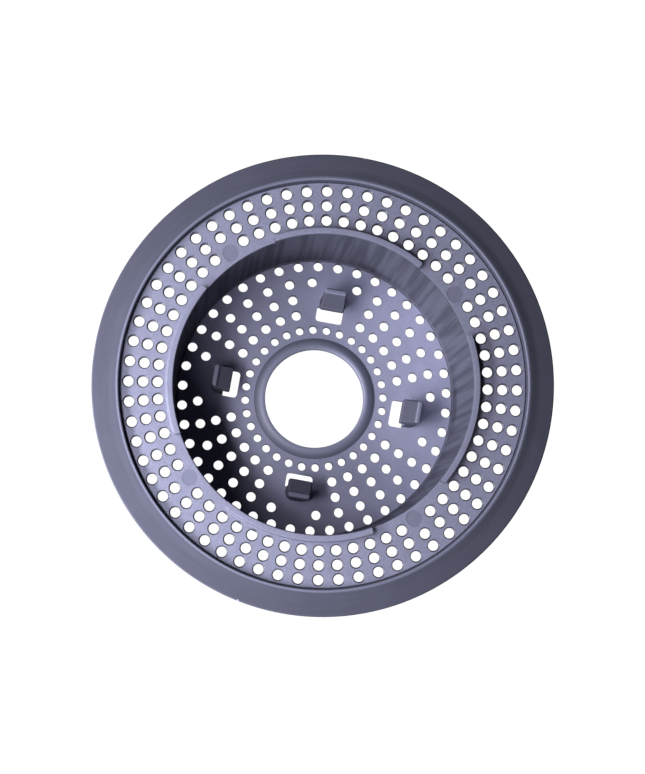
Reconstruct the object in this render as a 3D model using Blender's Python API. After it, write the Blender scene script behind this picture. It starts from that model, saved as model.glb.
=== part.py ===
"""Coarse filter of a dishwasher sump, moulded in one piece of grey plastic.

A perforated flange with a raised rim carries a straight-walled bowl. The bowl has a
perforated flat floor with a rolled centre hole, four hooks over their moulding windows,
and four raised lips round its mouth. Metres, +Z up. The origin is on the bowl's axis, in
the plane of the floor's underside. The hooks stand at 0, 90, 180 and 270 degrees.
"""

from math import cos, floor, hypot, pi, radians, sin, sqrt, tau

import bmesh
import bpy
from mathutils import Matrix, Vector

MM = 0.001

# Bowl
BOWL_RADIUS = 61.3 * MM
BOWL_DEPTH = 26.5 * MM
WALL = 3.0 * MM
FLOOR = 2.0 * MM
HEEL_ROUND = 1.2 * MM

# Flange and rim
FLANGE = 1.6 * MM
RIM_RADIUS = 95.0 * MM
RIM_WIDTH = 11.6 * MM
RIM_THICKNESS = 1.9 * MM
EDGE_ROUND = 0.8 * MM
BEAD_HEIGHT = 1.7 * MM
BEAD_RISE_RUN = 0.4 * MM
BEAD_CREST_RUN = 0.9 * MM
GROOVE_RUN = 1.3 * MM
SLOPE_RUN = 3.7 * MM
SHOULDER_HEIGHT = 0.9 * MM
SEAT_WIDTH = 4.0 * MM

# Lips round the mouth of the bowl
LIP_HEIGHT = 2.0 * MM
LIP_ARC = radians(58.0)
LIP_END_ROUND = 1.5 * MM

# Centre hole and its rolled collar
CENTRE_RADIUS = 21.8 * MM
COLLAR_WIDTH = 4.7 * MM
COLLAR_HEIGHT = 1.1 * MM

# Hooks that clasp the insert, and their windows
HOOK_COUNT = 4
HOOK_SEAT_WIDTH = 18.5 * MM
HOOK_HEIGHT = 11.0 * MM
HOOK_TIP_HEIGHT = 8.4 * MM
HOOK_SPACE = 5.5 * MM
HOOK_WIDTH = 10.0 * MM
HOOK_TAPER = 0.3 * MM
HOOK_LEG = 5.3 * MM
HOOK_OVERHANG = 2.9 * MM
HOOK_RIDGE = 2.2 * MM
HOOK_ROUND = 0.9 * MM
HOOK_ROOT = 1.0 * MM
WINDOW_LENGTH = 6.3 * MM
WINDOW_SIDE_GAP = 0.9 * MM
WINDOW_CORNER = 1.2 * MM

# Perforation
HOLE_RADIUS = 2.1 * MM
COLLAR_RING_HOLE_RADIUS = 1.75 * MM
HOLE_SIDES = 6
FLANGE_COLUMNS = 60
FLANGE_ROW_PITCH = 6.0 * MM
FLANGE_WEB = 1.0 * MM
LIP_WEB = 1.35 * MM
FLOOR_SPOKES = 32
EDGE_RING_HOLES = 42
FLOOR_RING_PITCH = 7.0 * MM
FLOOR_EDGE_WEB = 0.7 * MM
COLLAR_WEB = 1.5 * MM
HOOK_WEB_SIDE = 1.0 * MM
HOOK_WEB_INSIDE = 1.2 * MM
HOOK_WEB_OUTSIDE = 4.4 * MM

# Ejector marks in the flange, between the lips
MARK_RADIUS = 3.25 * MM
MARK_DEPTH = 0.2 * MM
MARK_INSET = 1.6 * MM
MARK_SIDES = 8

TURN_STEPS = 60
ROUND_STEPS = 2
FLAT_ANGLE = radians(0.5)
CUT_CLEARANCE = 1.0 * MM

FLOOR_TOP = FLOOR
FLANGE_TOP = FLOOR_TOP + BOWL_DEPTH
FLANGE_UNDERSIDE = FLANGE_TOP - FLANGE
WALL_OUTER_RADIUS = BOWL_RADIUS + WALL
STEP_RADIUS = RIM_RADIUS - RIM_WIDTH
COLLAR_RADIUS = CENTRE_RADIUS + COLLAR_WIDTH
HOOK_LEG_RADIUS = CENTRE_RADIUS + HOOK_SEAT_WIDTH
WINDOW_RADIUS = HOOK_LEG_RADIUS - WINDOW_LENGTH
WINDOW_HALF_WIDTH = HOOK_WIDTH / 2 + WINDOW_SIDE_GAP
HOOK_STEP = tau / HOOK_COUNT
MARK_CENTRE_RADIUS = BOWL_RADIUS + MARK_INSET + MARK_RADIUS


def remove_all_objects():
    """Empty the scene of whatever it holds."""
    for item in list(bpy.data.objects):
        bpy.data.objects.remove(item, do_unlink=True)


def moulded_plastic():
    """Return the satin lavender-grey plastic of the whole filter."""
    material = bpy.data.materials.new("lavender_grey_plastic")
    material.use_nodes = True
    shader = material.node_tree.nodes["Principled BSDF"]
    shader.inputs["Base Color"].default_value = (0.22, 0.22, 0.36, 1.0)
    shader.inputs["Roughness"].default_value = 0.45
    shader.inputs["Metallic"].default_value = 0.0
    return material


def add_object(name, mesh_builder):
    """Turn a bmesh into an object of the scene."""
    bmesh.ops.recalc_face_normals(mesh_builder, faces=mesh_builder.faces)
    mesh = bpy.data.meshes.new(name)
    mesh_builder.to_mesh(mesh)
    mesh_builder.free()
    item = bpy.data.objects.new(name, mesh)
    bpy.context.scene.collection.objects.link(item)
    return item


def as_guide(item):
    """Keep a cutter or a joined-in block out of the model itself."""
    item.hide_render = True
    item.display_type = "WIRE"
    return item


def arc_points(centre, radius, start, end, steps):
    """Return points along an arc in a plane, both ends included."""
    turn = (end - start) / steps
    return [
        (centre[0] + radius * cos(start + turn * step), centre[1] + radius * sin(start + turn * step))
        for step in range(steps + 1)
    ]


def rim_section():
    """Outline of the rim from the flange's top to its underside, as radius and height."""
    crest = (STEP_RADIUS + BEAD_CREST_RUN, FLANGE_TOP + BEAD_HEIGHT)
    shoulder = (crest[0] + SLOPE_RUN, FLANGE_TOP + SHOULDER_HEIGHT)
    seat = FLANGE_TOP - RIM_THICKNESS
    foot = RIM_RADIUS - EDGE_ROUND / 2
    groove = crest[1] - RIM_THICKNESS
    return [
        (STEP_RADIUS, FLANGE_TOP),
        (STEP_RADIUS + BEAD_RISE_RUN, crest[1] - BEAD_RISE_RUN),
        crest,
        shoulder,
        (RIM_RADIUS - EDGE_ROUND, FLANGE_TOP),
        (RIM_RADIUS, FLANGE_TOP - EDGE_ROUND),
        (foot, seat),
        (foot - SEAT_WIDTH, seat),
        (STEP_RADIUS + GROOVE_RUN, groove),
        (STEP_RADIUS + BEAD_RISE_RUN, FLANGE_UNDERSIDE),
    ]


def collar_section():
    """Outline of the rolled collar, from the floor's top down to the edge of the centre hole."""
    top = FLOOR_TOP + COLLAR_HEIGHT
    roll_centre = (CENTRE_RADIUS + COLLAR_HEIGHT * 2, top - COLLAR_HEIGHT * 2)
    return [
        (COLLAR_RADIUS, FLOOR_TOP),
        *arc_points(roll_centre, COLLAR_HEIGHT * 2, pi / 2, pi, ROUND_STEPS),
    ]


def filter_section():
    """Closed outline that is turned round the axis, with the lip as a whole ring."""
    lip_top = FLANGE_TOP + LIP_HEIGHT
    return [
        (CENTRE_RADIUS, 0.0),
        *collar_section()[::-1],
        (BOWL_RADIUS, FLOOR_TOP),
        (BOWL_RADIUS, lip_top),
        (WALL_OUTER_RADIUS, lip_top),
        (WALL_OUTER_RADIUS, FLANGE_TOP),
        *rim_section(),
        (WALL_OUTER_RADIUS, FLANGE_UNDERSIDE),
        (WALL_OUTER_RADIUS, HEEL_ROUND),
        (WALL_OUTER_RADIUS - HEEL_ROUND, 0.0),
    ]


def turned_body():
    """Turn the section round the axis into one closed body."""
    builder = bmesh.new()
    ring = [builder.verts.new((radius, 0.0, height)) for radius, height in filter_section()]
    loop = [builder.edges.new((ring[index - 1], ring[index])) for index in range(len(ring))]
    bmesh.ops.spin(
        builder,
        geom=ring + loop,
        cent=(0.0, 0.0, 0.0),
        axis=(0.0, 0.0, 1.0),
        angle=tau,
        steps=TURN_STEPS,
        use_merge=True,
    )
    bmesh.ops.dissolve_limit(builder, angle_limit=FLAT_ANGLE, verts=builder.verts, edges=builder.edges)
    body = add_object("coarse_filter", builder)
    body.data.shade_smooth()
    body.data.set_sharp_from_angle(angle=radians(35.0))
    return body


def add_prism(builder, outline, low, high):
    """Add an upright prism over a plan outline."""
    corners = [builder.verts.new((x, y, low)) for x, y in outline]
    base = builder.faces.new(corners)
    grown = bmesh.ops.extrude_face_region(builder, geom=[base])
    top = [item for item in grown["geom"] if isinstance(item, bmesh.types.BMVert)]
    bmesh.ops.translate(builder, verts=top, vec=(0.0, 0.0, high - low))


def turned_outline(outline, angle):
    """Turn a plan outline round the axis."""
    return [(x * cos(angle) - y * sin(angle), x * sin(angle) + y * cos(angle)) for x, y in outline]


def hook_blocks():
    """Blocks for the hooks, with a top that rises to a level ridge over the leg."""
    top = FLOOR_TOP + HOOK_HEIGHT
    inner = HOOK_LEG_RADIUS - HOOK_OVERHANG
    outer = HOOK_LEG_RADIUS + HOOK_LEG
    side_view = [
        (inner, FLOOR_TOP - HOOK_ROOT),
        (outer + HOOK_TAPER, FLOOR_TOP - HOOK_ROOT),
        (outer, top - HOOK_ROUND),
        (outer - HOOK_ROUND, top),
        (outer - HOOK_RIDGE, top),
        (inner, FLOOR_TOP + HOOK_TIP_HEIGHT),
    ]
    builder = bmesh.new()
    for index in range(HOOK_COUNT):
        turn = Matrix.Rotation(index * HOOK_STEP, 4, "Z")
        near = []
        far = []
        for radius, height in side_view:
            half = HOOK_WIDTH / 2 - HOOK_TAPER * (radius - inner) / (outer - inner)
            near.append(builder.verts.new(turn @ Vector((radius, -half, height))))
            far.append(builder.verts.new(turn @ Vector((radius, half, height))))
        builder.faces.new(near)
        builder.faces.new(far[::-1])
        for corner in range(len(side_view)):
            previous = corner - 1
            builder.faces.new((near[previous], far[previous], far[corner], near[corner]))
    return as_guide(add_object("hook_blocks", builder))


def window_outline():
    """Plan of one moulding window, with its two inner corners rounded."""
    corner = WINDOW_RADIUS + WINDOW_CORNER
    side = WINDOW_HALF_WIDTH - WINDOW_CORNER
    return [
        (HOOK_LEG_RADIUS, -WINDOW_HALF_WIDTH),
        (HOOK_LEG_RADIUS, WINDOW_HALF_WIDTH),
        *arc_points((corner, side), WINDOW_CORNER, pi / 2, pi, ROUND_STEPS),
        *arc_points((corner, -side), WINDOW_CORNER, pi, pi * 1.5, ROUND_STEPS),
    ]


def add_windows(builder):
    """Cut the windows through the floor and clear the space under each hook's plate."""
    for index in range(HOOK_COUNT):
        outline = turned_outline(window_outline(), index * HOOK_STEP)
        add_prism(builder, outline, -CUT_CLEARANCE, FLOOR_TOP + HOOK_SPACE)


def lip_gap_outline():
    """Plan of the gap between two lips, wider at the outside where the lip ends are round."""
    half = HOOK_STEP / 2 - LIP_ARC / 2
    inner = BOWL_RADIUS - CUT_CLEARANCE
    outer = WALL_OUTER_RADIUS + CUT_CLEARANCE / 2
    round_radius = WALL_OUTER_RADIUS - LIP_END_ROUND
    side = [(inner, half), (round_radius, half)]
    for step in range(1, ROUND_STEPS + 1):
        turn = step * pi / 2 / ROUND_STEPS
        radius = round_radius + LIP_END_ROUND * sin(turn)
        side.append((radius, half + LIP_END_ROUND * (1 - cos(turn)) / WALL_OUTER_RADIUS))
    side.append((outer, side[-1][1]))
    rim = [(outer, side[-1][1] * share) for share in (0.6, 0.2, -0.2, -0.6)]
    mouth = [(inner, -half * 0.5), (inner, 0.0), (inner, half * 0.5)]
    polar = side + rim + [(radius, -turn) for radius, turn in side[::-1]] + mouth
    return [(radius * cos(turn), radius * sin(turn)) for radius, turn in polar]


def add_lip_gaps(builder):
    """Cut the lip's ring down to the flange between the four lips."""
    for index in range(HOOK_COUNT):
        outline = turned_outline(lip_gap_outline(), (index + 0.5) * HOOK_STEP)
        add_prism(builder, outline, FLANGE_TOP, FLANGE_TOP + LIP_HEIGHT + CUT_CLEARANCE)


def add_marks(builder):
    """Sink the shallow round ejector marks between the lips."""
    for index in range(HOOK_COUNT):
        turn = (index + 0.5) * HOOK_STEP
        centre = (MARK_CENTRE_RADIUS * cos(turn), MARK_CENTRE_RADIUS * sin(turn))
        outline = arc_points(centre, MARK_RADIUS, turn, turn + tau, MARK_SIDES)[:-1]
        add_prism(builder, outline, FLANGE_TOP - MARK_DEPTH, FLANGE_TOP + CUT_CLEARANCE)


def pin_outline(radius, turn, hole_radius):
    """Plan of one hole with the round hole's area, a flat towards the axis."""
    corner = hole_radius * sqrt(tau / (HOLE_SIDES * sin(tau / HOLE_SIDES)))
    centre = (radius * cos(turn), radius * sin(turn))
    start = turn + pi / HOLE_SIDES
    return arc_points(centre, corner, start, start + tau, HOLE_SIDES)[:-1]


def flange_rows():
    """Radii of the flange's rows, from the bowl's wall out to the rim's step."""
    first = WALL_OUTER_RADIUS + LIP_WEB + HOLE_RADIUS
    last = STEP_RADIUS - FLANGE_WEB - HOLE_RADIUS
    count = floor((last - first) / FLANGE_ROW_PITCH) + 1
    return [first + row * FLANGE_ROW_PITCH for row in range(count)]


def clear_of_marks(radius, turn):
    """True where a hole leaves the ejector marks whole."""
    for index in range(HOOK_COUNT):
        mark = (index + 0.5) * HOOK_STEP
        across = radius * cos(turn) - MARK_CENTRE_RADIUS * cos(mark)
        along = radius * sin(turn) - MARK_CENTRE_RADIUS * sin(mark)
        if hypot(across, along) < MARK_RADIUS + HOLE_RADIUS:
            return False
    return True


def add_flange_pins(builder):
    """Pins for the flange's rows, in straight columns out from the axis."""
    for radius in flange_rows():
        for column in range(FLANGE_COLUMNS):
            turn = (column + 0.5) * tau / FLANGE_COLUMNS
            if clear_of_marks(radius, turn):
                outline = pin_outline(radius, turn, HOLE_RADIUS)
                low = FLANGE_UNDERSIDE - CUT_CLEARANCE
                add_prism(builder, outline, low, FLANGE_TOP + CUT_CLEARANCE)


def floor_rings():
    """Radius, hole radius, number of holes and first angle of each ring in the floor."""
    edge = BOWL_RADIUS - FLOOR_EDGE_WEB - HOLE_RADIUS
    collar = COLLAR_RADIUS + COLLAR_WEB + COLLAR_RING_HOLE_RADIUS
    inner_rings = floor((edge - collar) / FLOOR_RING_PITCH)
    rings = [(edge, HOLE_RADIUS, EDGE_RING_HOLES, pi / 2)]
    for step in range(1, inner_rings + 1):
        hole = COLLAR_RING_HOLE_RADIUS if step == inner_rings else HOLE_RADIUS
        rings.append((edge - step * FLOOR_RING_PITCH, hole, FLOOR_SPOKES, 0.0))
    return rings


def clear_of_hooks(radius, turn, hole_radius):
    """True where a hole leaves the solid floor round every hook and window."""
    for index in range(HOOK_COUNT):
        out = radius * cos(turn - index * HOOK_STEP)
        side = abs(radius * sin(turn - index * HOOK_STEP))
        beside = side - hole_radius > WINDOW_HALF_WIDTH + HOOK_WEB_SIDE
        inside = out + hole_radius < WINDOW_RADIUS - HOOK_WEB_INSIDE
        outside = out - hole_radius > HOOK_LEG_RADIUS + HOOK_LEG + HOOK_WEB_OUTSIDE
        if not (beside or inside or outside):
            return False
    return True


def add_floor_pins(builder):
    """Pins for the floor's rings, left out round the hooks."""
    for radius, hole_radius, count, first in floor_rings():
        for place in range(count):
            turn = first + place * tau / count
            if clear_of_hooks(radius, turn, hole_radius):
                outline = pin_outline(radius, turn, hole_radius)
                add_prism(builder, outline, -CUT_CLEARANCE, FLOOR_TOP + CUT_CLEARANCE)


def cutter(name, *fillers):
    """Gather several sets of cutting shapes in one hidden object."""
    builder = bmesh.new()
    for fill in fillers:
        fill(builder)
    return as_guide(add_object(name, builder))


def add_boolean(body, name, operation, other):
    """Join or cut one object with another by an exact Boolean."""
    modifier = body.modifiers.new(name, "BOOLEAN")
    modifier.operation = operation
    modifier.solver = "EXACT"
    modifier.object = other


def build_filter():
    """Build the filter as one closed moulding."""
    body = turned_body()
    body.data.materials.append(moulded_plastic())
    add_boolean(body, "hooks", "UNION", hook_blocks())
    add_boolean(body, "lips_and_windows", "DIFFERENCE", cutter("forming_cuts", add_lip_gaps, add_windows))
    add_boolean(body, "marks", "DIFFERENCE", cutter("mark_cuts", add_marks))
    add_boolean(body, "holes", "DIFFERENCE", cutter("hole_pins", add_flange_pins, add_floor_pins))
    return body


remove_all_objects()
build_filter()
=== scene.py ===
"""Coarse filter of a dishwasher sump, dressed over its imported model.

The filter is one moulding in lavender-grey plastic. Its perforated faces are finely
grained, and its rim, wall, collar and hooks are smooth. Metres, +Z up. The origin is on
the bowl's axis, in the plane of the floor's underside. The hooks stand at 0, 90, 180 and
270 degrees.
"""

import logging
from collections.abc import Callable
from dataclasses import dataclass, field
from enum import Enum
from math import atan2, cos, dist, hypot, pi, radians, sin, tan, tau
from typing import NamedTuple

import bmesh
import bpy
import numpy as np
from mathutils import Matrix, Vector


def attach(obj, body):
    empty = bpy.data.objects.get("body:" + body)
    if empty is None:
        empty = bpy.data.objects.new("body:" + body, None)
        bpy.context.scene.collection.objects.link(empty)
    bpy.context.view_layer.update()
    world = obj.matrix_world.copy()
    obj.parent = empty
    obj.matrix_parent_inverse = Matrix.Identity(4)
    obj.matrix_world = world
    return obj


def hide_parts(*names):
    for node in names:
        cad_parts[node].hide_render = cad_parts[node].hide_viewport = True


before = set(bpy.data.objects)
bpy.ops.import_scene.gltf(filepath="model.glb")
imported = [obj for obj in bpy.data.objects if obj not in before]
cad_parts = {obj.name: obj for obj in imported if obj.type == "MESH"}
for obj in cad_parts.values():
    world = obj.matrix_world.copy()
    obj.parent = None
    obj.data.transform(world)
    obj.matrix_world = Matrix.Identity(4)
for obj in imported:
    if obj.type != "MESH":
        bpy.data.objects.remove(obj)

LOG = logging.getLogger("coarse_filter")
MM = 0.001
HAIR = 0.01 * MM  # the least difference in height that counts
OVERRUN = 1.0 * MM  # how far a cutter reaches past what it cuts
STRAIGHT = radians(89.9)  # half angle from which a corner needs no arc
LEAST_SPREAD = 0.3  # keeps a shrunk outline's sharp corners from running away
SHARP_ANGLE = radians(38.0)
FACE_WEIGHT = 60  # how far large faces lead the shading at their edges

Colour = tuple[float, float, float]
Point = tuple[float, float]
Span = tuple[float, float]
Layers = list[list[Vector]]

WHITE: Colour = (1.0, 1.0, 1.0)


class Zone(Enum):
    """Finishes of the moulding's faces, in the order of its material slots."""

    SMOOTH = 0
    GRAINED = 1
    MARKED = 2
    EDGE = 3
    FLOOR = 4
    FLOOR_HOLE = 5
    LIP_EDGE = 6


class Operation(Enum):
    """Ways to combine two bodies."""

    JOIN = "UNION"
    CUT = "DIFFERENCE"


class Corner(NamedTuple):
    """Corner of a section or plan, with the radius that rounds it."""

    across: float
    up: float
    round: float = 0.0


def rounded(corners: list[Corner], steps: int) -> list[Point]:
    """Round the corners of a closed outline.

    Args:
        corners: The outline's corners in order.
        steps: Straight pieces in each rounded corner.

    Returns:
        The outline's points, with an arc at each corner that has a radius.
    """
    points: list[Point] = []
    for index, corner in enumerate(corners):
        here = Vector((corner.across, corner.up))
        before = Vector(corners[index - 1][:2]) - here
        after = Vector(corners[(index + 1) % len(corners)][:2]) - here
        before.normalize()
        after.normalize()
        half = before.angle(after) / 2
        if corner.round <= 0.0 or half > STRAIGHT:
            points.append((here.x, here.y))
            continue
        start = here + before * corner.round / tan(half)
        end = here + after * corner.round / tan(half)
        centre = here + (before + after).normalized() * corner.round / sin(half)
        first = atan2(start.y - centre.y, start.x - centre.x)
        last = atan2(end.y - centre.y, end.x - centre.x)
        turn = (last - first + pi) % tau - pi
        for step in range(steps + 1):
            angle = first + turn * step / steps
            points.append((centre.x + corner.round * cos(angle), centre.y + corner.round * sin(angle)))
    return points


def shrink(outline: list[Point], inset: float) -> list[Point]:
    """Move each point of an outline inwards from the edges that meet there.

    Args:
        outline: The outline, with its corners anticlockwise.
        inset: The distance from each edge.

    Returns:
        The smaller outline.
    """
    result = []
    for index, point in enumerate(outline):
        here = Vector(point)
        before = (here - Vector(outline[index - 1])).normalized()
        after = (Vector(outline[(index + 1) % len(outline)]) - here).normalized()
        normal = Vector((-before.y - after.y, before.x + after.x)).normalized()
        spread = max(LEAST_SPREAD, normal.dot(Vector((-before.y, before.x))))
        moved = here + normal * inset / spread
        result.append((moved.x, moved.y))
    return result


def spaced(count: int, start: float = 0.0) -> list[float]:
    """Return the angles of evenly spaced places round the axis, from a start given in places."""
    return [(index + start) * tau / count for index in range(count)]


def quarter_turn(steps: int) -> list[float]:
    """Return the angles from 0 to 90 degrees in equal steps."""
    return [step * pi / (2 * steps) for step in range(steps + 1)]


def polar(radius: float, turn: float) -> Point:
    """Return the place in plan at a distance from the axis and an angle."""
    return (radius * cos(turn), radius * sin(turn))


def arc(turns: list[float], radius: float, height: float, centre: Point = (0.0, 0.0)) -> list[Vector]:
    """Return the points of a level circle at some angles."""
    x, y = centre
    return [Vector((x + radius * cos(turn), y + radius * sin(turn), height)) for turn in turns]


def new_object(name: str, builder: bmesh.types.BMesh) -> bpy.types.Object:
    """Turn a bmesh into an object of the scene.

    Args:
        name: The object's name.
        builder: The bmesh, which is freed.

    Returns:
        The new object.
    """
    bmesh.ops.recalc_face_normals(builder, faces=builder.faces)
    mesh = bpy.data.meshes.new(name)
    builder.to_mesh(mesh)
    builder.free()
    item = bpy.data.objects.new(name, mesh)
    bpy.context.scene.collection.objects.link(item)
    return item


def turn_section(section: list[Point], steps: int) -> bmesh.types.BMesh:
    """Turn a closed section round the axis into one closed body.

    Args:
        section: Points of the section as radius and height.
        steps: Number of columns round the axis.

    Returns:
        The turned body.
    """
    builder = bmesh.new()
    rings = []
    for angle in spaced(steps):
        rings.append([builder.verts.new((r * cos(angle), r * sin(angle), z)) for r, z in section])
    for ring, following in zip(rings, rings[1:] + rings[:1]):
        for index in range(len(section)):
            builder.faces.new((ring[index - 1], following[index - 1], following[index], ring[index]))
    return builder


def stacked_bodies(name: str, bodies: list[Layers]) -> bpy.types.Object:
    """Return an object of closed bodies, each through a stack of outlines.

    Args:
        name: The object's name.
        bodies: The outlines of each body from one end to the other, with equal numbers of points.

    Returns:
        The object.
    """
    builder = bmesh.new()
    for layers in bodies:
        rings = [[builder.verts.new(point) for point in layer] for layer in layers]
        for lower, upper in zip(rings, rings[1:]):
            for index in range(len(lower)):
                builder.faces.new((lower[index - 1], lower[index], upper[index], upper[index - 1]))
        builder.faces.new(rings[0][::-1])
        builder.faces.new(rings[-1])
    return new_object(name, builder)


def apply_modifiers(item: bpy.types.Object) -> None:
    """Replace an object's mesh with what its modifiers make of it.

    Args:
        item: The object that is changed.
    """
    bpy.context.view_layer.update()
    evaluated = item.evaluated_get(bpy.context.evaluated_depsgraph_get())
    mesh = bpy.data.meshes.new_from_object(evaluated)
    mesh.name = item.name
    item.modifiers.clear()
    item.data = mesh


def combine(item: bpy.types.Object, operation: Operation, tool: bpy.types.Object) -> None:
    """Join or cut an object with another, which is removed.

    Args:
        item: The object that is changed.
        operation: Whether the other object is joined in or cut away.
        tool: The other object.
    """
    modifier = item.modifiers.new(tool.name, "BOOLEAN")
    modifier.operation = operation.value
    modifier.solver = "MANIFOLD"
    modifier.object = tool
    faces = len(item.data.polygons)
    apply_modifiers(item)
    LOG.info("%s %s: %d to %d faces", operation.name.lower(), tool.name, faces, len(item.data.polygons))
    bpy.data.objects.remove(tool, do_unlink=True)


def read_rows(items: bpy.types.bpy_prop_collection, name: str) -> np.ndarray:
    """Return a property of three numbers of all items, one row for each.

    Args:
        items: The faces or vertices of a mesh.
        name: The property's name.

    Returns:
        The rows.
    """
    values = np.empty(len(items) * 3)
    items.foreach_get(name, values)
    return values.reshape(-1, 3)


class Socket:
    """Output of a shader node, for use in Python expressions."""

    def __init__(self, graph: "Graph", output: bpy.types.NodeSocket) -> None:
        """Wrap one output of a node of the graph."""
        self.graph = graph
        self.output = output

    def maths(self, operation: str, *values: "Socket | float") -> "Socket":
        """Return a Math node of the values."""
        return self.graph.add("ShaderNodeMath", {"operation": operation}, dict(enumerate(values)))

    def __add__(self, other: "Socket | float") -> "Socket":
        """Return self + other."""
        return self.maths("ADD", self, other)

    __radd__ = __add__

    def __sub__(self, other: "Socket | float") -> "Socket":
        """Return self - other."""
        return self.maths("SUBTRACT", self, other)

    def __rsub__(self, other: "Socket | float") -> "Socket":
        """Return other - self."""
        return self.maths("SUBTRACT", other, self)

    def __mul__(self, other: "Socket | float") -> "Socket":
        """Return self * other."""
        return self.maths("MULTIPLY", self, other)

    __rmul__ = __mul__

    def at_least(self, floor: float) -> "Socket":
        """Return self, or a number where self is less."""
        return self.maths("MAXIMUM", self, floor)

    def ramp(self, low: float, high: float) -> "Socket":
        """Return 0 at low and 1 at high, with smooth ends."""
        limits = {"Value": self, "From Min": low, "From Max": high}
        return self.graph.add("ShaderNodeMapRange", {"interpolation_type": "SMOOTHSTEP"}, limits)

    def band(self, start: float, end: float, soft: float) -> "Socket":
        """Return 1 between two values and 0 outside them, with soft ends."""
        reach = soft / 2
        return self.ramp(start - reach, start + reach) * (1 - self.ramp(end - reach, end + reach))


class Graph:
    """Node tree of one material or world."""

    def __init__(self, owner: bpy.types.Material | bpy.types.World) -> None:
        """Empty the owner's node tree.

        Args:
            owner: The material or world whose nodes are made.
        """
        owner.use_nodes = True
        self.tree = owner.node_tree
        self.tree.nodes.clear()

    def add(
        self,
        kind: str,
        settings: dict[str, object] | None = None,
        inputs: dict[str | int, "Socket | float | tuple"] | None = None,
        result: str | int = 0,
    ) -> Socket:
        """Add a node.

        Args:
            kind: The node's type.
            settings: Properties of the node, set first.
            inputs: Values or links of its inputs, by name or place.
            result: The output that is wanted, by name or place.

        Returns:
            The wanted output.
        """
        node = self.tree.nodes.new(kind)
        for name, value in (settings or {}).items():
            setattr(node, name, value)
        for name, value in (inputs or {}).items():
            target = self.pick(node.inputs, name)
            if isinstance(value, Socket):
                self.tree.links.new(value.output, target)
            else:
                target.default_value = value
        return Socket(self, self.pick(node.outputs, result) if node.outputs else None)

    @staticmethod
    def pick(sockets: bpy.types.bpy_prop_collection, name: str | int) -> bpy.types.NodeSocket:
        """Return the socket in use that has a name or a place.

        Args:
            sockets: The inputs or outputs of a node.
            name: The socket's name or place.

        Returns:
            The socket.
        """
        if isinstance(name, int):
            return sockets[name]
        return next(socket for socket in sockets if socket.name == name and socket.enabled)

    def position(self) -> Socket:
        """Return the point in the object's own space."""
        return self.add("ShaderNodeTexCoord", result="Object")

    def facing(self) -> Socket:
        """Return the normal in the object's own space."""
        return self.add("ShaderNodeTexCoord", result="Normal")

    def upward(self, vector: Socket) -> Socket:
        """Return the upward part of a vector."""
        return self.add("ShaderNodeSeparateXYZ", None, {"Vector": vector}, "Z")

    def vector(self, operation: str, *values: "Socket | tuple | float", result: str = "Vector") -> Socket:
        """Return a Vector Math node of the values."""
        return self.add("ShaderNodeVectorMath", {"operation": operation}, dict(enumerate(values)), result)

    def noise(self, place: Socket, size: float, detail: float = 2.0) -> Socket:
        """Return noise about 0.5 whose spots are of a size in metres."""
        return self.add("ShaderNodeTexNoise", None, {"Vector": place, "Scale": 1 / size, "Detail": detail})

    def bump(self, height: Socket, strength: float, depth: float, **below: Socket) -> Socket:
        """Return the normal of a relief, laid over the one below if it is given."""
        inputs = {"Strength": strength, "Distance": depth, "Height": height, **below}
        return self.add("ShaderNodeBump", None, inputs)

    def mix(self, factor: Socket, low: "Socket | Colour", high: "Socket | Colour") -> Socket:
        """Return a colour between two.

        Args:
            factor: The share of the second colour, which is kept from 0 to 1.
            low: The first colour.
            high: The second colour.

        Returns:
            The mixed colour.
        """
        inputs = {"Factor": factor}
        for name, value in (("A", low), ("B", high)):
            inputs[name] = value if isinstance(value, Socket) else (*value, 1.0)
        return self.add("ShaderNodeMix", {"data_type": "RGBA", "clamp_factor": True}, inputs, "Result")

    def finish(self, **inputs: "Socket | float | tuple") -> None:
        """Set the shader's inputs and join it to the output.

        Args:
            inputs: The inputs' values or links, with underscores for the spaces in their names.
        """
        named = {name.replace("_", " "): value for name, value in inputs.items()}
        shader = self.add("ShaderNodeBsdfPrincipled", None, named)
        self.add("ShaderNodeOutputMaterial", None, {"Surface": shader})


def beyond(base: float, span: Span) -> Span:
    """Return the two ends of a span that starts from a base."""
    return (base + span[0], base + span[1])


def shade(colour: Colour, factor: float) -> Colour:
    """Return a colour made darker or lighter."""
    return (colour[0] * factor, colour[1] * factor, colour[2] * factor)


def shades(colour: Colour, share: float) -> tuple[Colour, Colour]:
    """Return a colour made darker and made lighter by a share."""
    return shade(colour, 1 - share), shade(colour, 1 + share)


@dataclass(frozen=True)
class GrainedPlastic:
    """Finely grained face that scatters the light, as the perforated faces have it."""

    name: str = "grained_lavender_plastic"
    colour: Colour = (0.33, 0.335, 0.505)
    roughness: float = 0.5
    roughness_spread: float = 0.2
    speckle: float = 0.15
    cloud: float = 0.08
    contrast: float = 1.6
    grain_size: float = 0.9 * MM
    grain_depth: float = 0.02 * MM
    cloud_size: float = 7.0 * MM
    detail: float = 3.0
    relief: float = 0.6

    def material(self) -> bpy.types.Material:
        """Return the finish as a material.

        Returns:
            The material.
        """
        item = bpy.data.materials.new(self.name)
        graph = Graph(item)
        place = graph.position()
        grain = graph.noise(place, self.grain_size, self.detail)
        cloud = graph.noise(place, self.cloud_size, self.detail)
        cloud_contrast = self.contrast * self.cloud / self.speckle
        blend = 0.5 + (grain - 0.5) * self.contrast + (cloud - 0.5) * cloud_contrast
        graph.finish(
            Base_Color=graph.mix(blend, *shades(self.colour, self.speckle)),
            Roughness=self.roughness + (grain - 0.5) * self.roughness_spread,
            Normal=graph.bump(grain, self.relief, self.grain_depth),
        )
        return item


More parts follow.
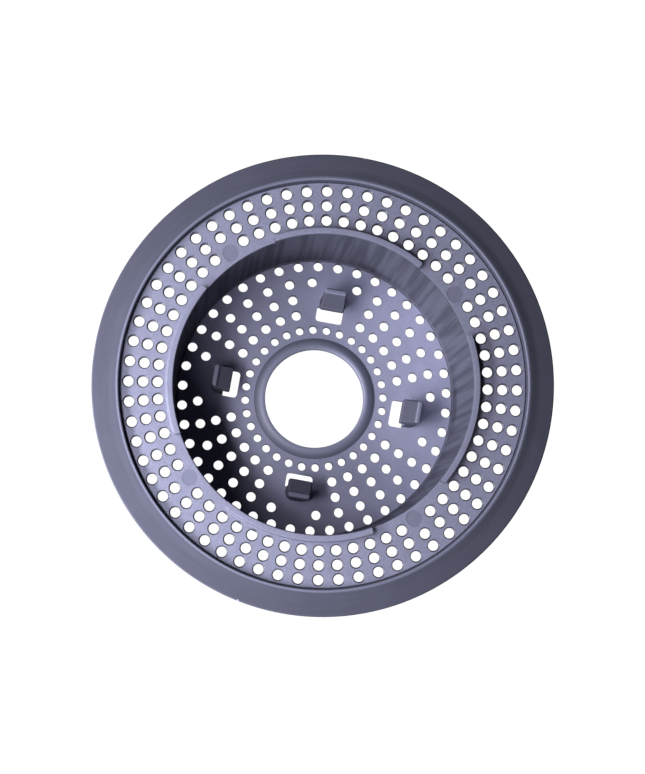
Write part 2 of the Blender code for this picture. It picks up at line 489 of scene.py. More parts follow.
GRAINED_FINISHES = {
    Zone.GRAINED: GrainedPlastic(),
    Zone.MARKED: GrainedPlastic(
        "marked_lavender_plastic", (0.265, 0.27, 0.41), roughness=0.4, speckle=0.05, cloud=0.05
    ),
    # darker than the grain: partly the holes' smoother plastic, partly painted shade along their rounded
    # rims
    Zone.EDGE: GrainedPlastic(
        "edge_lavender_plastic", (0.09, 0.092, 0.14), roughness=0.3, speckle=0.06, cloud=0.06
    ),
    # paler than the flange's grain: partly its own grain, partly painted light for the brighter light on
    # the floor
    Zone.FLOOR: GrainedPlastic(
        "floor_lavender_plastic", (0.45, 0.455, 0.69), roughness=0.5, speckle=0.07, cloud=0.09
    ),
    Zone.FLOOR_HOLE: GrainedPlastic(
        "floor_hole_plastic", (0.22, 0.225, 0.34), roughness=0.4, speckle=0.06, cloud=0.06
    ),
    # darker than the lip tops: partly the rounds' smoother plastic, partly painted shade on the lips'
    # rounded edges
    Zone.LIP_EDGE: GrainedPlastic(
        "lip_edge_plastic", (0.22, 0.223, 0.34), roughness=0.45, speckle=0.06, cloud=0.06
    ),
}


@dataclass(frozen=True)
class SmoothPlastic:
    """Smooth face with a soft gloss, as the rim, wall, collar and hooks have it.

    Each shade multiplies the colour. Each span gives the two ends of a soft change. Where
    it belongs to an edge or face, it is measured outwards or upwards from there.
    """

    name: str = "smooth_lavender_plastic"
    # darker than the grained colour, partly for the smoother finish and partly as painted shade, since the
    # moulding is one plastic
    colour: Colour = (0.122, 0.125, 0.187)
    roughness: float = 0.5
    roughness_spread: float = 0.08
    specular: float = 0.1
    cloud: float = 0.07
    cloud_size: float = 14.0 * MM
    cloud_detail: float = 3.0
    cloud_contrast: float = 1.4
    fine_size: float = 0.8 * MM
    fine_contrast: float = 0.25
    fine_relief: float = 0.3
    relief: float = 0.35
    relief_depth: float = 0.02 * MM
    # painted shade: the colour on steep faces is multiplied by this
    upright_painted_shade: float = 0.6
    upright_span: Span = (0.15, 0.6)
    stripe_width: float = 0.045
    stripe_detail: float = 1.5
    stripe_drift: float = 0.9
    stripe_span: Span = (0.36, 0.64)
    stripe_painted_shades: tuple[float, float] = (0.5, 0.8)
    wall_span: Span = (-0.8 * MM, 0.4 * MM)
    wall_soft: float = 0.2 * MM
    wall_foot: float = 0.4 * MM
    wall_head: float = 1.6 * MM
    wall_ends_soft: float = 0.4 * MM
    rim_ease: float = 0.08
    rim_ease_start: float = 1.2 * MM
    streak: float = 1.5
    streak_width: float = 1.1 * MM
    streak_advance: float = 6.0 * MM
    streak_span: Span = (1.0 * MM, 2.0 * MM)
    # painted highlight: the colour on the bead's crest is multiplied by this
    crest_painted_highlight: float = 2.0
    crest_gloss: float = 0.22
    crest_span: Span = (0.3 * MM, 1.5 * MM)
    crest_soft: float = 0.5 * MM
    crest_rise: Span = (1.2 * MM, 1.7 * MM)
    nick_colour: Colour = (0.42, 0.42, 0.58)
    nick_span: Span = (0.2 * MM, 0.7 * MM)
    nick_rise: Span = (-0.7 * MM, -0.3 * MM)
    hooks_span: Span = (-10.0 * MM, -8.0 * MM)
    plate_shade: float = 0.95
    # painted highlight: the colour on the hooks' ridges is multiplied by this
    ridge_painted_highlight: float = 2.0
    ridge_drop: float = 0.7 * MM
    # painted shade at the collar's foot and painted highlight at its crest, as shares of the colour
    collar_painted_shade_and_highlight: tuple[float, float] = (1.6, 3.25)
    collar_inside: float = 0.5 * MM
    collar_outside: float = 0.2 * MM
    collar_soft: float = 0.4 * MM
    collar_coat: float = 1.0
    collar_coat_roughness: float = 0.35

    def material(self, rim: "Rim", hooks: "Hooks") -> bpy.types.Material:
        """Return the finish, striped on the wall, streaked on the rim, with painted highlights on the
        crests.

        Args:
            rim: The rim, on the bowl whose wall carries the stripes.
            hooks: The hooks, round the collar, which gets painted shade at its foot and a painted highlight
                towards its crest.

        Returns:
            The material.
        """
        bowl, collar = rim.bowl, hooks.collar
        item = bpy.data.materials.new(self.name)
        graph = Graph(item)
        place = graph.position()
        height = graph.upward(place)
        level = graph.vector("MULTIPLY", place, (1.0, 1.0, 0.0))
        radius = graph.vector("LENGTH", level, result="Value")
        around = graph.vector("NORMALIZE", level)
        cloud = graph.noise(place, self.cloud_size, self.cloud_detail)
        fine = graph.noise(place, self.fine_size)

        drawn = graph.vector("MULTIPLY", around, (self.streak_advance, self.streak_advance, 0.0))
        drawn = graph.vector("ADD", drawn, graph.add("ShaderNodeCombineXYZ", None, {"Z": radius}))
        streaks = graph.noise(drawn, self.streak_width)
        on_rim = radius.ramp(*beyond(rim.bead_radius, self.streak_span))
        blend = 0.5 + (cloud - 0.5) * self.cloud_contrast + (fine - 0.5) * self.fine_contrast
        blend = blend + (streaks - 0.5) * on_rim * self.streak
        colour = graph.mix(blend, *shades(self.colour, self.cloud))
        # Painted shade: steep faces get a darker colour, full where they stand upright and gone where they
        # lie nearly level.
        upright = 1 - graph.upward(graph.facing()).ramp(*self.upright_span)

        climb = graph.vector("MULTIPLY", place, (0.0, 0.0, self.stripe_drift))
        stripes = graph.noise(graph.vector("ADD", around, climb), self.stripe_width, self.stripe_detail)
        # Painted shade: both stripe tones are darker copies of the colour, as on other steep faces; the
        # stripes between them are uneven tone.
        dark, light = self.stripe_painted_shades
        striped = graph.mix(
            stripes.ramp(*self.stripe_span), shade(self.colour, dark), shade(self.colour, light)
        )
        foot, head = bowl.floor + self.wall_foot, bowl.flange_top + self.wall_head
        on_wall = radius.band(*beyond(bowl.radius, self.wall_span), self.wall_soft)
        on_wall = on_wall * height.band(foot, head, self.wall_ends_soft)

        # Painted highlight: a paler band along the bead's crest, where its gloss catches the light.
        crest_highlight_mask = radius.band(*beyond(rim.bead_radius, self.crest_span), self.crest_soft)
        crest_highlight_mask = crest_highlight_mask * height.ramp(*beyond(bowl.flange_top, self.crest_rise))
        near_hooks = 1 - radius.ramp(*beyond(bowl.radius, self.hooks_span))
        on_plate = height.ramp(bowl.floor + hooks.space, bowl.floor + hooks.tip_height) * near_hooks
        # Painted highlight: the hooks' ridges are made paler, for the sheen along their rounded tops.
        hook_top = bowl.floor + hooks.height
        ridge_highlight_mask = height.ramp(hook_top - self.ridge_drop, hook_top) * near_hooks

        # Painted shade and highlight: the collar darkens towards its foot, where shade falls, and pales
        # towards its crest, for the sheen that catches the light there.
        low, high = self.collar_painted_shade_and_highlight
        rise = 1 - radius.ramp(collar.inner_radius + collar.crest_run, collar.radius - self.collar_outside)
        collar_shade_and_highlight = graph.mix(rise, shade(self.colour, low), shade(self.colour, high))
        inside, outside = collar.inner_radius - self.collar_inside, collar.radius + self.collar_outside
        on_collar = radius.band(inside, outside, self.collar_soft)

        paints = [
            (upright, shade(self.colour, self.upright_painted_shade)),
            (on_wall, striped),
            (crest_highlight_mask, shade(self.colour, self.crest_painted_highlight)),
            (on_plate, shade(self.colour, self.plate_shade)),
            (ridge_highlight_mask, shade(self.colour, self.ridge_painted_highlight)),
            (on_collar, collar_shade_and_highlight),
        ]
        near_edge_top = height.ramp(*beyond(bowl.flange_top, self.nick_rise))
        for x, y in rim.nick_places():
            away = graph.vector("LENGTH", graph.vector("SUBTRACT", level, (x, y, 0.0)), result="Value")
            paints.append(((1 - away.ramp(*self.nick_span)) * near_edge_top, self.nick_colour))
        for mask, paint in paints:
            colour = graph.mix(mask, colour, paint)

        eased = graph.bump(radius.at_least(rim.bead_radius + self.rim_ease_start), 1.0, self.rim_ease)
        unevenness = fine * self.fine_relief + stripes * on_wall
        gloss = (crest_highlight_mask + on_collar) * self.crest_gloss
        graph.finish(
            Base_Color=colour,
            Roughness=self.roughness + (fine - 0.5) * self.roughness_spread - gloss,
            Specular_IOR_Level=self.specular,
            Coat_Weight=on_collar * rise * rise * self.collar_coat,
            Coat_Roughness=self.collar_coat_roughness,
            Normal=graph.bump(unevenness, self.relief, self.relief_depth, Normal=eased),
        )
        return item


@dataclass
class Bowl:
    """Straight-walled bowl with a flat floor, and a level flange round its mouth."""

    radius: float = 61.3 * MM
    depth: float = 26.5 * MM
    wall: float = 3.0 * MM
    floor: float = 2.0 * MM
    flange: float = 1.6 * MM
    foot_round: float = 0.9 * MM
    heel_round: float = 1.2 * MM

    @property
    def flange_top(self) -> float:
        """Height of the flange's top face."""
        return self.floor + self.depth

    @property
    def flange_bottom(self) -> float:
        """Height of the flange's underside."""
        return self.flange_top - self.flange

    @property
    def outer_radius(self) -> float:
        """Radius of the wall's outer face."""
        return self.radius + self.wall

    def inner_section(self) -> list[Corner]:
        """Return the corner between the floor and the wall."""
        return [Corner(self.radius, self.floor, self.foot_round)]

    def outer_section(self) -> list[Corner]:
        """Return the wall's heel at the floor's underside."""
        return [Corner(self.outer_radius, 0.0, self.heel_round)]


@dataclass
class Collar:
    """Rolled edge of the floor's centre hole."""

    bowl: Bowl
    inner_radius: float = 21.8 * MM
    width: float = 4.7 * MM
    height: float = 1.4 * MM
    crest_run: float = 1.2 * MM
    inner_drop: float = 0.1 * MM
    lower_edge_round: float = 0.3 * MM
    edge_round: float = 0.35 * MM
    crest_round: float = 2.5 * MM
    foot_round: float = 1.8 * MM

    @property
    def radius(self) -> float:
        """Radius of the collar's foot."""
        return self.inner_radius + self.width

    def section(self) -> list[Corner]:
        """Return the section from the hole's lower edge to the floor's top.

        Returns:
            The section's corners.
        """
        crest = self.bowl.floor + self.height
        return [
            Corner(self.inner_radius, 0.0, self.lower_edge_round),
            Corner(self.inner_radius, crest - self.inner_drop, self.edge_round),
            Corner(self.inner_radius + self.crest_run, crest, self.crest_round),
            Corner(self.radius, self.bowl.floor, self.foot_round),
        ]


@dataclass
class Lips:
    """Four raised lips round the bowl's mouth."""

    bowl: Bowl
    height: float = 2.0 * MM
    arc: float = radians(58.0)
    end_round: float = 1.5 * MM
    edge_round: float = 0.6 * MM
    outer_foot_round: float = 0.35 * MM
    mouth_round: float = 0.5 * MM
    count: int = 4
    gap_columns: int = 22
    mouth_steps: int = 4
    end_steps: int = 8

    def section(self) -> list[Corner]:
        """Return the section of a whole ring of lip.

        Returns:
            The section's corners.
        """
        bowl = self.bowl
        top = bowl.flange_top + self.height
        return [
            Corner(bowl.radius, top, self.edge_round),
            Corner(bowl.outer_radius, top, self.edge_round),
            Corner(bowl.outer_radius, bowl.flange_top, self.outer_foot_round),
        ]

    def gap_cutters(self) -> bpy.types.Object:
        """Return the bodies that cut the ring into lips and round the mouth between them.

        Returns:
            The bodies as one object.
        """
        bowl = self.bowl
        half = pi / self.count - self.arc / 2
        low = bowl.flange_top
        high = low + self.height + OVERRUN
        ribs = [(bowl.radius - OVERRUN, half, low - self.mouth_round)]
        for turn in quarter_turn(self.mouth_steps):
            radius = bowl.radius + self.mouth_round * (1 - cos(turn))
            ribs.append((radius, half, low - self.mouth_round * (1 - sin(turn))))
        inner = bowl.outer_radius - self.end_round
        for turn in quarter_turn(self.end_steps):
            grown = half + self.end_round * (1 - cos(turn)) / bowl.outer_radius
            ribs.append((inner + self.end_round * sin(turn), grown, low))
        ribs.append((bowl.outer_radius + OVERRUN, ribs[-1][1], low))
        sweep = [2 * column / self.gap_columns - 1 for column in range(self.gap_columns + 1)]
        bodies = []
        for middle in spaced(self.count, 0.5):
            layers = []
            for radius, reach, bottom in ribs:
                turns = [middle + reach * side for side in sweep]
                layers.append(arc(turns, radius, bottom) + arc(turns, radius, high)[::-1])
            bodies.append(layers)
        return stacked_bodies("lip_gaps", bodies)


@dataclass
class Rim:
    """Raised rim with a bead along its inner edge, a seat below and a channel under the bead."""

    bowl: Bowl
    radius: float = 95.0 * MM
    width: float = 11.6 * MM
    thickness: float = 1.9 * MM
    bead_top: float = 1.9 * MM
    bead_lean: float = 0.25 * MM
    bead_round: float = 0.7 * MM
    groove_width: float = 0.5 * MM
    groove_depth: float = 0.25 * MM
    groove_round: float = 0.1 * MM
    shoulder_run: float = 4.6 * MM
    shoulder_height: float = 0.9 * MM
    shoulder_round: float = 25.0 * MM
    edge_drop: float = 0.12 * MM
    edge_round: float = 0.8 * MM
    lower_edge_round: float = 0.3 * MM
    edge_land: float = 0.4 * MM
    seat_width: float = 4.0 * MM
    seat_round: float = 1.0 * MM
    channel_run: float = 1.5 * MM
    channel_drop: float = 0.2 * MM
    channel_round: float = 0.5 * MM
    foot_run: float = 0.4 * MM
    foot_round: float = 0.2 * MM
    nick_turns: tuple[float, ...] = (radians(89.9), radians(258.7))
    nick_inset: float = 0.3 * MM

    @property
    def bead_radius(self) -> float:
        """Radius of the bead's inner face."""
        return self.radius - self.width

    @property
    def shoulder_radius(self) -> float:
        """Radius at which the rim's slope eases."""
        return self.bead_radius + self.shoulder_run

    def nick_places(self) -> list[Point]:
        """Return the places of the small pale nicks in the outer edge."""
        return [polar(self.radius - self.nick_inset, turn) for turn in self.nick_turns]

    def section(self) -> list[Corner]:
        """Return the section from the flange's top round to its underside.

        Returns:
            The section's corners.
        """
        top = self.bowl.flange_top
        seat = top - self.thickness
        inner = self.bead_radius
        return [
            Corner(inner - self.groove_width, top, self.groove_round),
            Corner(inner - self.groove_width / 2, top - self.groove_depth),
            Corner(inner, top - self.groove_depth),
            Corner(inner + self.bead_lean, top + self.bead_top, self.bead_round),
            Corner(self.shoulder_radius, top + self.shoulder_height, self.shoulder_round),
            Corner(self.radius, top - self.edge_drop, self.edge_round),
            Corner(self.radius, seat, self.lower_edge_round),
            Corner(self.radius - self.edge_land - self.seat_width, seat, self.seat_round),
            Corner(inner + self.channel_run, top - self.channel_drop, self.channel_round),
            Corner(inner + self.foot_run, self.bowl.flange_bottom, self.foot_round),
        ]


@dataclass
class Hooks:
    """Four hooks that clasp the insert, over their moulding windows."""

    collar: Collar
    seat_width: float = 18.5 * MM
    height: float = 11.0 * MM
    tip_height: float = 8.4 * MM
    plate_end: float = 10.2 * MM
    space: float = 5.5 * MM
    width: float = 10.0 * MM
    taper: float = 0.3 * MM
    draft: float = 0.4 * MM
    leg: float = 5.3 * MM
    overhang: float = 2.9 * MM
    ridge: float = 2.2 * MM
    ridge_lean: float = 0.2 * MM
    outer_round: float = 1.0 * MM
    inner_round: float = 0.65 * MM
    side_round: float = 0.7 * MM
    plan_round: float = 2.1 * MM
    root: float = 1.0 * MM
    window_length: float = 6.3 * MM
    window_gap: float = 0.9 * MM
    window_corner: float = 1.5 * MM
    window_leg_corner: float = 0.5 * MM
    count: int = 4
    edge_steps: int = 5
    side_steps: int = 3
    plan_steps: int = 6

    @property
    def leg_radius(self) -> float:
        """Radius of the legs' inner faces."""
        return self.collar.inner_radius + self.seat_width

    @property
    def window_radius(self) -> float:
        """Radius of the windows' inner edges."""
        return self.leg_radius - self.window_length

    @property
    def window_half_width(self) -> float:
        """Half the width of a window."""
        return self.width / 2 + self.window_gap

    def at_each(self, name: str, bodies: list[Layers]) -> bpy.types.Object:
        """Return an object with some bodies at each hook's place.

        Args:
            name: The object's name.
            bodies: The layers of each body at the first hook's place.

        Returns:
            The object.
        """
        placed = []
        for angle in spaced(self.count):
            turn = Matrix.Rotation(angle, 4, "Z")
            placed += [[[turn @ point for point in layer] for layer in layers] for layers in bodies]
        return stacked_bodies(name, placed)

    def blocks(self) -> bpy.types.Object:
        """Return the hooks as whole blocks with rounded edges, rooted in the floor.

        Returns:
            The blocks as one object.
        """
        floor = self.collar.bowl.floor
        inner, outer = self.leg_radius - self.overhang, self.leg_radius + self.leg
        ridge = outer - self.ridge
        low, top = floor - self.root, floor + self.height
        corners = [
            Corner(inner, low),
            Corner(outer + self.taper, low),
            Corner(outer, top, self.outer_round),
            Corner(ridge, top, self.inner_round),
            Corner(ridge - self.ridge_lean, floor + self.plate_end, self.inner_round),
            Corner(inner, floor + self.tip_height, self.inner_round),
        ]
        side_view = rounded(corners, self.edge_steps)
        return self.at_each("hook_blocks", [self.block_layers(side_view, inner, outer)])

    def block_layers(self, side_view: list[Point], inner: float, outer: float) -> Layers:
        """Return the layers of a block across the hook's width, with rounded side edges.

        Args:
            side_view: The hook's outline as radius and height.
            inner: Radius of the plate's tip.
            outer: Radius of the leg's outer face.

        Returns:
            The layers from one side to the other.
        """
        top = max(height for _, height in side_view)
        angles = quarter_turn(self.side_steps)
        layers = []
        for side, order in ((-1.0, angles), (1.0, angles[::-1])):
            for angle in order:
                back = self.side_round * (1 - cos(angle))
                shrunk = shrink(side_view, self.side_round * (1 - sin(angle)))
                layer = []
                for (radius, height), (near_radius, near_height) in zip(side_view, shrunk):
                    half = self.width / 2 - self.taper * (radius - inner) / (outer - inner) - back
                    half += self.draft * (top - height) / self.height
                    layer.append(Vector((near_radius, side * half, near_height)))
                layers.append(layer)
        return layers

    def corner_cutters(self) -> bpy.types.Object:
        """Return the prisms that round the legs' outer corners in plan.

        Returns:
            The prisms as one object.
        """
        floor = self.collar.bowl.floor
        outer = self.leg_radius + self.leg
        half = self.width / 2 - self.taper + self.draft / 2
        over = 2 * OVERRUN
        plan = [(outer - self.plan_round, half + over), (outer + over, half + over)]
        plan.append((outer + over, half - self.plan_round))
        for angle in quarter_turn(self.plan_steps):
            out = outer - self.plan_round * (1 - cos(angle))
            plan.append((out, half - self.plan_round * (1 - sin(angle))))
        heights = (floor + HAIR, floor + self.height + OVERRUN)
        prisms = [
            [[Vector((x, side * y, height)) for x, y in plan] for height in heights] for side in (-1.0, 1.0)
        ]
        return self.at_each("hook_corners", prisms)

    def window_cutters(self) -> bpy.types.Object:
        """Return the prisms that cut the windows and clear the space under the plates.

        Returns:
            The prisms as one object.
        """
        leg, inner, half = self.leg_radius, self.window_radius, self.window_half_width
        corners = [
            Corner(leg, -half, self.window_leg_corner),
            Corner(leg, half, self.window_leg_corner),
            Corner(inner, half, self.window_corner),
            Corner(inner, -half, self.window_corner),
        ]
        plan = rounded(corners, self.plan_steps)
        heights = (-OVERRUN, self.collar.bowl.floor + self.space)
        return self.at_each("windows", [[[Vector((x, y, height)) for x, y in plan] for height in heights]])


@dataclass
class EjectorMarks:
    """Shallow round marks in the flange, between the lips, with sloping edges."""

    bowl: Bowl
    radius: float = 3.25 * MM
    depth: float = 0.1 * MM
    slope: float = 0.25 * MM
    cutter_spread: float = 0.3 * MM
    cutter_height: float = 0.6 * MM
    inset: float = 1.6 * MM
    count: int = 4
    sides: int = 40

    def centres(self) -> list[Point]:
        """Return the marks' centres in plan."""
        away = self.bowl.radius + self.inset + self.radius
        return [polar(away, turn) for turn in spaced(self.count, 0.5)]

    def cutters(self) -> bpy.types.Object:
        """Return the discs that sink the marks.

        Returns:
            The discs as one object.
        """
        top = self.bowl.flange_top
        profile = (
            (-self.slope, -self.depth),
            (0.0, -self.depth / 2),
            (self.slope, 0.0),
            (self.cutter_spread, self.cutter_height),
        )
        turns = spaced(self.sides)
        discs = [
            [arc(turns, self.radius + grown, top + height, centre) for grown, height in profile]
            for centre in self.centres()
        ]
        return stacked_bodies("marks", discs)


@dataclass
class Perforation:
    """Round holes of the flange and the floor, with softly rounded edges."""

    marks: EjectorMarks
    hooks: Hooks
    hole_radius: float = 2.12 * MM
    small_hole_radius: float = 1.75 * MM
    top_round: float = 0.65 * MM
    bottom_round: float = 0.15 * MM
    flange_draft: float = 0.15 * MM
    floor_round: float = 0.25 * MM
    top_flare: float = radians(70.0)
    bottom_flare: float = radians(60.0)
    flare_overrun: float = 0.08 * MM
    pin_overrun: float = 0.5 * MM
    sides: int = 24
    flange_columns: int = 60
    flange_pitch: float = 6.0 * MM
    flange_web: float = 1.35 * MM
    flange_rows: int = 3
    floor_spokes: int = 32
    edge_holes: int = 42
    edge_start: float = radians(90.0)
    floor_pitch: float = 7.0 * MM
    edge_web: float = 0.7 * MM
    floor_rings: int = 5
    web_beside_hook: float = 1.0 * MM
    web_inside_hook: float = 1.2 * MM
    web_outside_hook: float = 4.4 * MM

    def pin(self, place: Point, radius: float, plate: Span, top_round: float, draft: float = 0.0) -> Layers:
        """Return the layers of a pin that leaves a hole with rounded edges in a plate.

        Args:
            place: The hole's place in plan.
            radius: The hole's radius.
            plate: Heights of the plate's underside and top.
            top_round: Radius of the hole's rounded upper edge.
            draft: How much the hole widens towards the plate's underside.

        Returns:
            The layers from below to above.
        """
        low, high = plate
        rings = []
        for angle in (self.bottom_flare, 0.0):
            size = radius + draft + self.bottom_round * (1 - cos(angle))
            rings.append((low + self.bottom_round * (1 - sin(angle)), size))
        for angle in (0.0, self.top_flare / 2, self.top_flare):
            rings.append((high - top_round * (1 - sin(angle)), radius + top_round * (1 - cos(angle))))
        above = high + self.flare_overrun
        rings.append((above, rings[-1][1] + (above - rings[-1][0]) * tan(self.top_flare)))
        rings.append((high + self.pin_overrun, rings[-1][1]))
        under = (rings[0][0] - low + self.flare_overrun) * tan(self.bottom_flare)
        rings.insert(0, (low - self.flare_overrun, rings[0][1] + under))
        rings.insert(0, (low - self.pin_overrun, rings[0][1]))
        turns = spaced(self.sides, 0.5)
        return [arc(turns, size, height, place) for height, size in rings]

    def flange_pins(self) -> bpy.types.Object:
        """Return the pins of the flange's rows, clear of the ejector marks.

        Returns:
            The pins as one object.
        """
        marks, bowl = self.marks, self.marks.bowl
        plate = (bowl.flange_bottom, bowl.flange_top)
        first = bowl.outer_radius + self.flange_web + self.hole_radius
        clear = marks.radius + self.hole_radius
        pins = []
        for row in range(self.flange_rows):
            radius = first + row * self.flange_pitch
            for turn in spaced(self.flange_columns, 0.5):
                place = polar(radius, turn)
                if all(dist(place, centre) >= clear for centre in marks.centres()):
                    pins.append(self.pin(place, self.hole_radius, plate, self.top_round, self.flange_draft))
        return stacked_bodies("flange_pins", pins)

    def floor_pins(self) -> bpy.types.Object:
        """Return the pins of the floor's rings, clear of the hooks and windows.

        Returns:
            The pins as one object.
        """
        bowl = self.marks.bowl
        edge = bowl.radius - self.edge_web - self.hole_radius
        pins = []
        for ring in range(self.floor_rings):
            radius = edge - ring * self.floor_pitch
            count, first = (self.edge_holes, self.edge_start) if ring == 0 else (self.floor_spokes, 0.0)
            size = self.small_hole_radius if ring == self.floor_rings - 1 else self.hole_radius
            for turn in (first + place for place in spaced(count)):
                if self.clear_of_hooks(radius, turn, size):
                    place = polar(radius, turn)
                    pins.append(self.pin(place, size, (0.0, bowl.floor), self.floor_round))
        return stacked_bodies("floor_pins", pins)

    def clear_of_hooks(self, radius: float, turn: float, size: float) -> bool:
        """Tell whether a hole leaves the floor round every hook and window whole.

        Args:
            radius: The distance of the hole's middle from the axis.
            turn: The hole's place round the axis.
            size: The hole's radius.

        Returns:
            True if the hole can be made.
        """
        hooks = self.hooks
        for place in spaced(hooks.count):
            out = radius * cos(turn - place)
            side = abs(radius * sin(turn - place))
            beside = side - size > hooks.window_half_width + self.web_beside_hook
            inside = out + size < hooks.window_radius - self.web_inside_hook
            outside = out - size > hooks.leg_radius + hooks.leg + self.web_outside_hook
            if not (beside or inside or outside):
                return False
        return True


@dataclass(frozen=True)
class FaceLimits:
    """How near to a level or an edge a face lies, and how it tilts, to count as part of it.

    A tilt is the upward part of the face's normal: 1 is level, 0 is upright.
    """

    level: float = 0.03 * MM
    mark_level: float = 0.25 * MM
    mark_spread: float = 0.3 * MM
    hole_spread: float = 0.7 * MM
    hole_tilt: float = -0.5
    lip_inside: float = 0.3 * MM
    lip_outside: float = 0.7 * MM
    lip_end_sideways: float = 0.4
    steep_tilt: float = 0.3
    lip_top_tilt: float = 0.97


@dataclass
class CoarseFilter:
    """The whole moulding: bowl, collar, hooks, lips, perforated flange and rim."""

    bowl: Bowl = field(default_factory=Bowl)
    limits: FaceLimits = FaceLimits()
    wall_root_round: float = 0.5 * MM
    columns: int = 240
    round_steps: int = 4

    def __post_init__(self) -> None:
        """Add the parts that the bowl carries."""
        self.collar = Collar(self.bowl)
        self.hooks = Hooks(self.collar)
        self.lips = Lips(self.bowl)
        self.rim = Rim(self.bowl)
        self.marks = EjectorMarks(self.bowl)
        self.perforation = Perforation(self.marks, self.hooks)

    def section(self) -> list[Point]:
        """Return the whole closed section, with the lip as a full ring.

        Returns:
            The section's points as radius and height.
        """
        corners = [
            *self.collar.section(),
            *self.bowl.inner_section(),
            *self.lips.section(),
            *self.rim.section(),
            Corner(self.bowl.outer_radius, self.bowl.flange_bottom, self.wall_root_round),
            *self.bowl.outer_section(),
        ]
        return rounded(corners, self.round_steps)

    def build(self) -> bpy.types.Object:
        """Return the moulding as one closed piece.

        Returns:
            The moulding, without its finishes.
        """
        piece = new_object("filter_moulding", turn_section(self.section(), self.columns))
        blocks = self.hooks.blocks()
        combine(blocks, Operation.CUT, self.hooks.corner_cutters())
        combine(piece, Operation.JOIN, blocks)
        for make_cutters in (
            self.hooks.window_cutters,
            self.lips.gap_cutters,
            self.marks.cutters,
            self.perforation.flange_pins,
            self.perforation.floor_pins,
        ):
            combine(piece, Operation.CUT, make_cutters())
        return piece

    def zone_of(self, middle: np.ndarray, normal: np.ndarray, flat: bool) -> Zone:
        """Tell the finish of a face from its place and tilt.

        Args:
            middle: The face's middle.
            normal: The face's normal.
            flat: Whether all its corners are at one height.

        Returns:
            The finish's zone.
        """
        bowl, limits = self.bowl, self.limits
        x, y, z = middle
        radius = hypot(x, y)
        upward = normal[2]
        above = z - bowl.flange_top
        if abs(above) < limits.mark_level and upward > limits.steep_tilt:
            reach = self.marks.radius + limits.mark_spread
            if any(dist((x, y), centre) < reach for centre in self.marks.centres()):
                return Zone.MARKED if above < -HAIR else Zone.GRAINED
        sideways = abs(normal[1] * x - normal[0] * y) / radius
        on_lip = bowl.radius + limits.lip_inside < radius < bowl.outer_radius + limits.lip_outside
        if on_lip and above > HAIR and sideways < limits.lip_end_sideways:
            if upward < limits.steep_tilt:
                return Zone.SMOOTH
            return Zone.GRAINED if upward > limits.lip_top_tilt else Zone.LIP_EDGE
        on_floor = self.collar.radius < radius < bowl.radius
        clear_of_foot = radius < bowl.radius - bowl.foot_round
        if on_floor and clear_of_foot and 0.0 < z < bowl.floor - limits.level:
            return Zone.FLOOR_HOLE
        if not flat:
            first, last = bowl.outer_radius + limits.hole_spread, self.rim.bead_radius - limits.hole_spread
            in_hole = first < radius < last and above < 0.0 and upward > limits.hole_tilt
            return Zone.EDGE if in_hole else Zone.SMOOTH
        on_flange = abs(above) < limits.level and bowl.radius < radius < self.rim.bead_radius
        on_lip_top = abs(above - self.lips.height) < limits.level and radius < bowl.outer_radius
        if on_flange or on_lip_top:
            return Zone.GRAINED
        return Zone.FLOOR if on_floor and abs(z - bowl.floor) < limits.level else Zone.SMOOTH

    def dress(self, piece: bpy.types.Object) -> None:
        """Give each face its finish, and flat faces and rounds their clean shading.

        Args:
            piece: The moulding.
        """
        mesh = piece.data
        smooth_plastic = SmoothPlastic().material(self.rim, self.hooks)
        mesh.materials.clear()
        for zone in Zone:
            finish = smooth_plastic if zone is Zone.SMOOTH else GRAINED_FINISHES[zone].material()
            mesh.materials.append(finish)
        heights = read_rows(mesh.vertices, "co")[:, 2]
        middles = read_rows(mesh.polygons, "center")
        normals = read_rows(mesh.polygons, "normal")
        zones, smooth = [], []
        for face, middle, normal in zip(mesh.polygons, middles, normals):
            corners = heights[list(face.vertices)]
            flat = corners.max() - corners.min() < HAIR
            zones.append(self.zone_of(middle, normal, flat).value)
            smooth.append(not flat)
        mesh.polygons.foreach_set("material_index", zones)
        mesh.polygons.foreach_set("use_smooth", smooth)
        mesh.set_sharp_from_angle(angle=SHARP_ANGLE)
        weighted = piece.modifiers.new("clean_shading", "WEIGHTED_NORMAL")
        weighted.keep_sharp = True
        weighted.weight = FACE_WEIGHT
        apply_modifiers(piece)
        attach(piece, "root")
        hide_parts("coarse_filter")


@dataclass(frozen=True)
class StripLight:
    """Long soft light that faces the bowl's middle."""

    name: str
    turn: float
    climb: float
    length: float
    width: float
    power: float
    distance: float = 400.0 * MM
    aim_height: float = 15.0 * MM

    def hang(self) -> bpy.types.Object:
        """Hang the light level, at its distance from the bowl's middle.

        Returns:
            The light.
        """
        data = bpy.data.lights.new(self.name, "AREA")
        data.shape = "RECTANGLE"
        data.size = self.length
        data.size_y = self.width
        data.energy = self.power
        light = bpy.data.objects.new(self.name, data)
        out = Vector((cos(self.climb) * cos(self.turn), cos(self.climb) * sin(self.turn), sin(self.climb)))
        light.location = Vector((0.0, 0.0, self.aim_height)) + out * self.distance
        light.rotation_euler = (-out).to_track_quat("-Z", "Y").to_euler()
        bpy.context.scene.collection.objects.link(light)
        return light


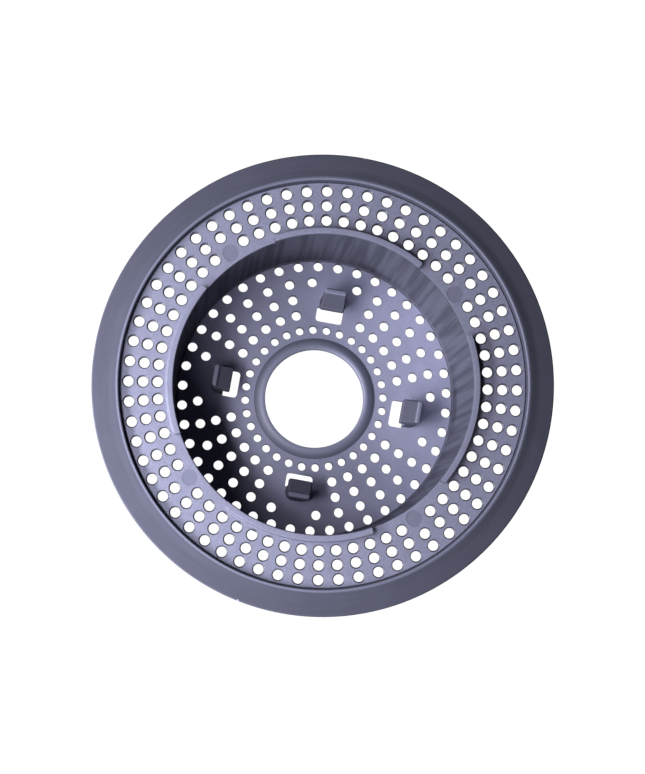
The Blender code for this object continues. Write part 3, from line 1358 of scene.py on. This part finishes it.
@dataclass
class Studio:
    """Pale glowing floor, a row of soft lights along one side, and the camera."""

    floor_size: float = 6.0
    floor_gap: float = 0.2 * MM
    floor_glow: float = 1.05
    floor_bounce: float = 0.7
    ambient: float = 0.01
    lights: tuple[StripLight, ...] = (
        StripLight("low_light", radians(209.0), radians(18.0), 470.0 * MM, 40.0 * MM, 2.8),
        StripLight("high_light", radians(212.0), radians(43.0), 240.0 * MM, 60.0 * MM, 0.7),
        StripLight("left_light", radians(170.0), radians(38.0), 120.0 * MM, 90.0 * MM, 0.22),
        StripLight("right_light", radians(258.0), radians(34.0), 120.0 * MM, 90.0 * MM, 0.24),
    )
    camera_place: tuple[float, float, float] = (-34.7 * MM, -82.9 * MM, 371.2 * MM)
    camera_turn: float = radians(10.35)
    focal_length: float = 38.89
    sensor_width: float = 36.0
    shift: tuple[float, float] = (0.154, 0.2355)
    clip: Span = (0.01, 20.0)

    def lay_floor(self) -> bpy.types.Object:
        """Lay the pale floor, which looks evenly white and lights the filter softly from below.

        Returns:
            The floor.
        """
        builder = bmesh.new()
        bmesh.ops.create_grid(builder, x_segments=1, y_segments=1, size=self.floor_size / 2)
        bmesh.ops.translate(builder, verts=builder.verts, vec=(0.0, 0.0, -self.floor_gap))
        floor = new_object("studio_floor", builder)
        material = bpy.data.materials.new("lit_floor")
        graph = Graph(material)
        seen = graph.add("ShaderNodeLightPath", result="Is Camera Ray")
        graph.finish(
            Base_Color=(0.0, 0.0, 0.0, 1.0),
            Specular_IOR_Level=0.0,
            Emission_Color=graph.mix(seen, shade(WHITE, self.floor_bounce), WHITE),
            Emission_Strength=self.floor_glow,
        )
        floor.data.materials.append(material)
        floor.visible_glossy = False
        floor.visible_shadow = False
        return floor

    def set_surroundings(self) -> None:
        """Keep the room dim for the light that falls on the filter, and pale behind it."""
        world = bpy.data.worlds.new("studio")
        graph = Graph(world)
        seen = graph.add("ShaderNodeLightPath", result="Is Camera Ray")
        strength = seen * (self.floor_glow - self.ambient) + self.ambient
        room = graph.add("ShaderNodeBackground", None, {"Color": (*WHITE, 1.0), "Strength": strength})
        graph.add("ShaderNodeOutputWorld", None, {"Surface": room})
        bpy.context.scene.world = world
        bpy.context.scene.view_settings.view_transform = "Standard"

    def place_camera(self) -> bpy.types.Object:
        """Place the camera, which looks straight down beside the filter.

        Returns:
            The camera.
        """
        data = bpy.data.cameras.new("camera")
        data.lens = self.focal_length
        data.sensor_width = self.sensor_width
        data.shift_x, data.shift_y = self.shift
        data.clip_start, data.clip_end = self.clip
        camera = bpy.data.objects.new("camera", data)
        camera.location = self.camera_place
        camera.rotation_euler = (0.0, 0.0, self.camera_turn)
        bpy.context.scene.collection.objects.link(camera)
        bpy.context.scene.camera = camera
        return camera


def report(make: Callable[[], bpy.types.Object]) -> bpy.types.Object:
    """Make a piece and log its size.

    Args:
        make: The method that makes it.

    Returns:
        The piece.
    """
    piece = make()
    faces = len(piece.data.polygons) if piece.type == "MESH" else 0
    LOG.info("%s made, %d faces", piece.name, faces)
    return piece


def main() -> None:
    """Build the studio and the filter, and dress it."""
    logging.basicConfig(level=logging.INFO, format="%(message)s")
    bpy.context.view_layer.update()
    studio = Studio()
    report(studio.place_camera)
    report(studio.lay_floor)
    for light in studio.lights:
        report(light.hang)
    studio.set_surroundings()
    coarse_filter = CoarseFilter()
    piece = report(coarse_filter.build)
    coarse_filter.dress(piece)
    triangles = sum(len(face.vertices) - 2 for face in piece.data.polygons)
    LOG.info("%s dressed, %d triangles", piece.name, triangles)


if __name__ == "__main__":
    main()
